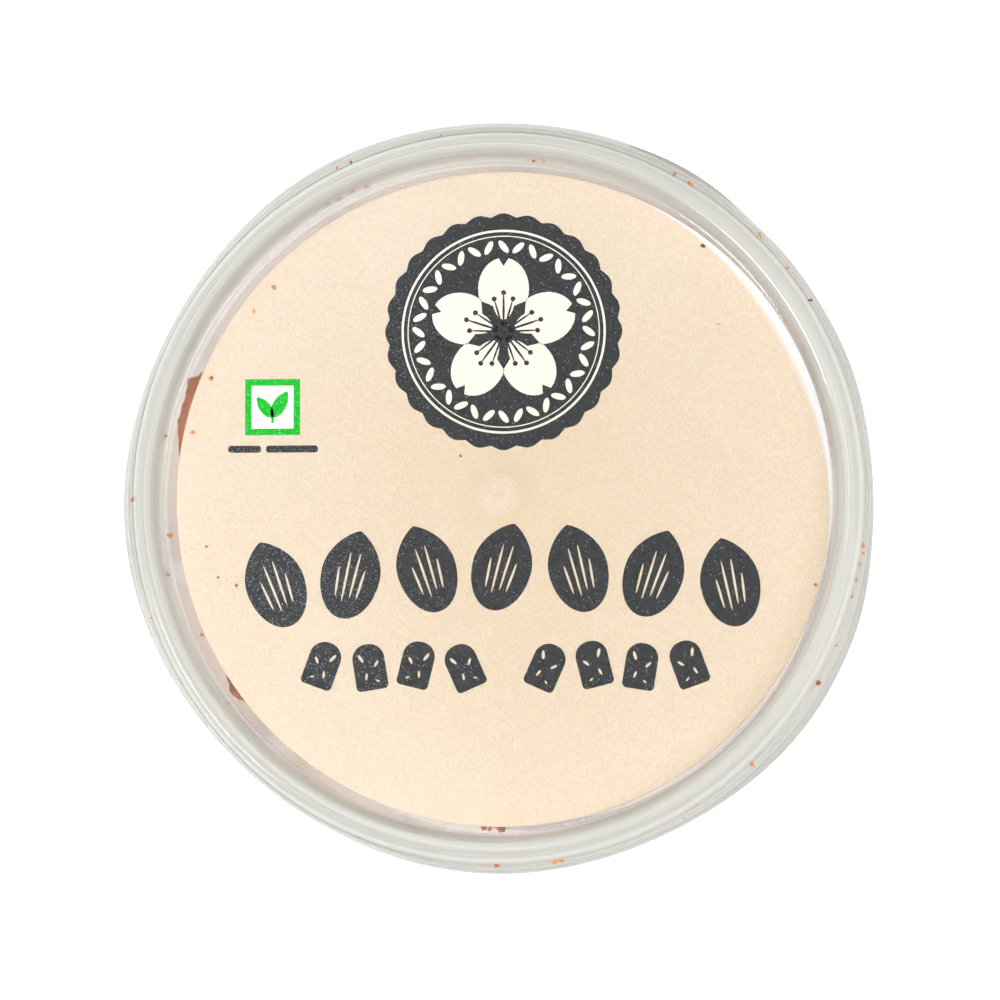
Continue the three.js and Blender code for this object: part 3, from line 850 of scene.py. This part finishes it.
# Crumbs on and just under the lid, as degrees from +X, millimetres from the axis, and size. Those on
# the label have their place across and up the picture instead of the first two.
RIM_CRUMBS = [
    (116, 73.6, 0.9), (113.8, 73.3, 0.9), (118, 67.7, 1.0), (115.3, 67.9, 1.1), (113, 67.6, 1.3),
    (119.9, 68, 0.7), (129.2, 68.2, 0.6), (128.3, 67.6, 0.5), (141, 67.8, 0.7), (151.9, 68.3, 0.6),
    (83.8, 67.4, 1.5), (82.2, 67.8, 1.1), (61.2, 73.4, 1.1), (58.4, 73.3, 1.5), (60.2, 68, 0.8),
    (46.2, 73.4, 1.2), (45, 73.9, 1.1), (38.2, 73.3, 0.7), (34, 73.2, 0.6), (32.2, 73.5, 0.8),
    (25.8, 67.6, 1.0), (180.2, 72.7, 1.3), (169.6, 67.9, 1.1), (170.6, 68.2, 0.8), (175.8, 68.3, 0.8),
    (186.3, 65.8, 1.2), (193, 67.8, 1.1), (198.9, 73.2, 1.0), (204.8, 65.2, 0.9), (216.9, 67.6, 1.1),
    (219.4, 67.9, 0.9), (235.6, 67.5, 0.9), (237.6, 67.2, 1.0), (247.9, 73.1, 0.6), (255.4, 67.6, 0.9),
    (269.7, 73.2, 1.0), (279.8, 73.4, 1.6), (278.8, 73.6, 1.3), (291.2, 67.7, 0.7), (297.8, 67.7, 1.0),
    (302.8, 73, 0.9), (313.3, 73.3, 1.1), (308, 67.9, 1.0), (324.1, 67.5, 1.1), (329.5, 73.9, 1.3),
    (352, 73.4, 1.0), (351, 73.4, 0.9), (349.2, 73.3, 1.0), (346.6, 73.2, 0.9), (344, 73.1, 0.9),
    (22.7, 67.9, 0.8), (139.9, 73.7, 0.4), (188, 73.6, 0.4), (300, 73.8, 0.4), (311.5, 70.9, 0.4),
    (336, 73.5, 0.5), (96.5, 68.4, 0.5), (99, 73.5, 0.4),
]
LABEL_CRUMBS = [
    (-44.8, 42.2, 0.8), (-48.8, 37.4, 0.7), (-57.4, 24.0, 1.1), (-61.0, 13.2, 0.8), (-58.2, -9.6, 0.5),
    (-55.8, -15.8, 0.6), (-52.2, -17.4, 0.5), (63.2, -17.8, 0.7), (41.0, 49.8, 0.8), (44.0, 34.2, 0.4),
    (-7.4, 8.2, 0.5),
]
# Which of them are scorched, counted from 0.
SCORCHED = {5, 6, 7, 8, 9, 19, 33, 51, 52, 53, 54, 55, 56, 57}
SCORCHED_ON_LABEL = {8, 10}
FLOOR_CRUMBS = 170
FLOOR = 3.15  # what they lie on, and the radius of the wall that they lie against
FLOOR_RADIUS = 64.4


def make_crumbs():
    draw = random.Random(7)
    brown, dark, inside = [], [], []
    for i, (degrees, radius, size) in enumerate(RIM_CRUMBS):
        angle = math.radians(degrees)
        x, y = radius * math.cos(angle), radius * math.sin(angle)
        material = DARK_CRUMB if i in SCORCHED else CRUMB
        under_skin = 1.5 if 67.4 < radius < 68.4 else -0.12 * size  # some lie in the rim's hollow
        z = lid_height(radius) - under_skin
        (dark if i in SCORCHED else brown).extend(cluster_at(x, y, z, size, material, draw))
    for i, (x, y, size) in enumerate(LABEL_CRUMBS):
        where, material = (dark, DARK_CRUMB) if i in SCORCHED_ON_LABEL else (brown, CRUMB)
        where.append(crumb_at(x, y, LABEL_TOP + 0.2 * size, size, material, draw))
    # Loose crumbs that fell to the tub's floor and lie against its wall, except at the lower right.
    for _ in range(FLOOR_CRUMBS):
        angle = math.radians(5 + 260 * draw.random())
        size = 0.6 + 1.3 * draw.random() ** 2
        radius = FLOOR_RADIUS - size / 2 - 2.2 * draw.random() ** 2
        x, y = radius * math.cos(angle), radius * math.sin(angle)
        inside.append(crumb_at(x, y, FLOOR + 0.22 * size, size, CRUMB, draw))
    return [join(brown, "crumbs_on_lid"), join(dark, "scorched_crumbs_on_lid"), join(inside, "crumbs_in_tub")]


for crumbs in make_crumbs():
    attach(crumbs, "root")


# ---------------------------------------------------------------- table, light and camera


TABLE_WIDTH = 6
PICTURE_WIDTH = 1000  # in pixels, as the focal length is
FOCAL_LENGTH = 7521
SENSOR_WIDTH = 36
CAMERA_TILT = math.radians(6)  # off straight down
CAMERA_SIDE = math.radians(-45)  # the way it leans, from +X
CAMERA_DISTANCE = 1.5
CAMERA_TARGET = Vector((0, 0, 86 * MM))
CAMERA_OFFSET = Vector((0.14, -0.28, 0)) * MM  # how far off the target it looks
LAMP_TARGET = Vector((0, 0, 0.09))


def make_table():
    """A white acrylic table, lit from below."""
    new_start()
    bpy.ops.mesh.primitive_plane_add(size=TABLE_WIDTH)
    material, tree = new_material("Lit_white_table")
    body = add(tree, "BsdfPrincipled", {"Base Color": grey(0.92), "Roughness": 0.6, "Emission Color": grey(1),
                                        "Emission Strength": 0.6})
    table = bpy.context.object
    table.name = "table"
    table.data.materials.append(finish(material, body))


def softbox(name, side, distance, size, power):
    """A square soft lamp, on a side of the pack that a direction gives."""
    light = bpy.data.lights.new(name, "AREA")
    light.shape, light.size, light.energy = "SQUARE", size, power
    lamp = bpy.data.objects.new(name, light)
    away = Vector(side).normalized()
    lamp.location = away * distance + LAMP_TARGET
    lamp.rotation_euler = away.to_track_quat("Z", "Y").to_euler()
    bpy.context.scene.collection.objects.link(lamp)


def make_light():
    """Four soft lamps in a dim bluish room. The key lamp stands at the left."""
    world = bpy.data.worlds.new("studio")
    world.use_nodes = True
    room = world.node_tree.nodes["Background"].inputs
    room["Color"].default_value, room["Strength"].default_value = (0.95, 0.97, 1, 1), 0.33
    bpy.context.scene.world = world
    softbox("key", (-0.9, -0.42, 1.45), 0.75, 0.26, 2.8)
    softbox("fill", (0.85, -0.3, 0.8), 0.8, 0.4, 2.3)
    softbox("top", (0.2, 0.1, 1.0), 2.0, 1.4, 11)
    softbox("back", (-0.5, 0.9, 0.9), 1.8, 1.0, 5)


def make_camera():
    """A long lens, nearly straight above, a little to the lower right of the picture."""
    lean = math.sin(CAMERA_TILT)
    back = Vector((lean * math.cos(CAMERA_SIDE), lean * math.sin(CAMERA_SIDE), math.cos(CAMERA_TILT)))
    spot = CAMERA_TARGET + back * CAMERA_DISTANCE
    forward = (CAMERA_TARGET + CAMERA_OFFSET - spot).normalized()
    right = forward.cross(Vector((0, 1, 0))).normalized()
    up = right.cross(forward)
    camera = bpy.data.cameras.new("camera")
    camera.sensor_width = SENSOR_WIDTH
    camera.lens = SENSOR_WIDTH * FOCAL_LENGTH / PICTURE_WIDTH
    eye = bpy.data.objects.new("camera", camera)
    turn = Matrix((right, up, -forward)).transposed().to_4x4()
    eye.matrix_world = Matrix.Translation(spot) @ turn
    bpy.context.scene.collection.objects.link(eye)
    bpy.context.scene.camera = eye


make_table()
make_light()
make_camera()
scene = bpy.context.scene
scene.view_settings.view_transform = "Standard"
scene.cycles.transparent_max_bounces = 32
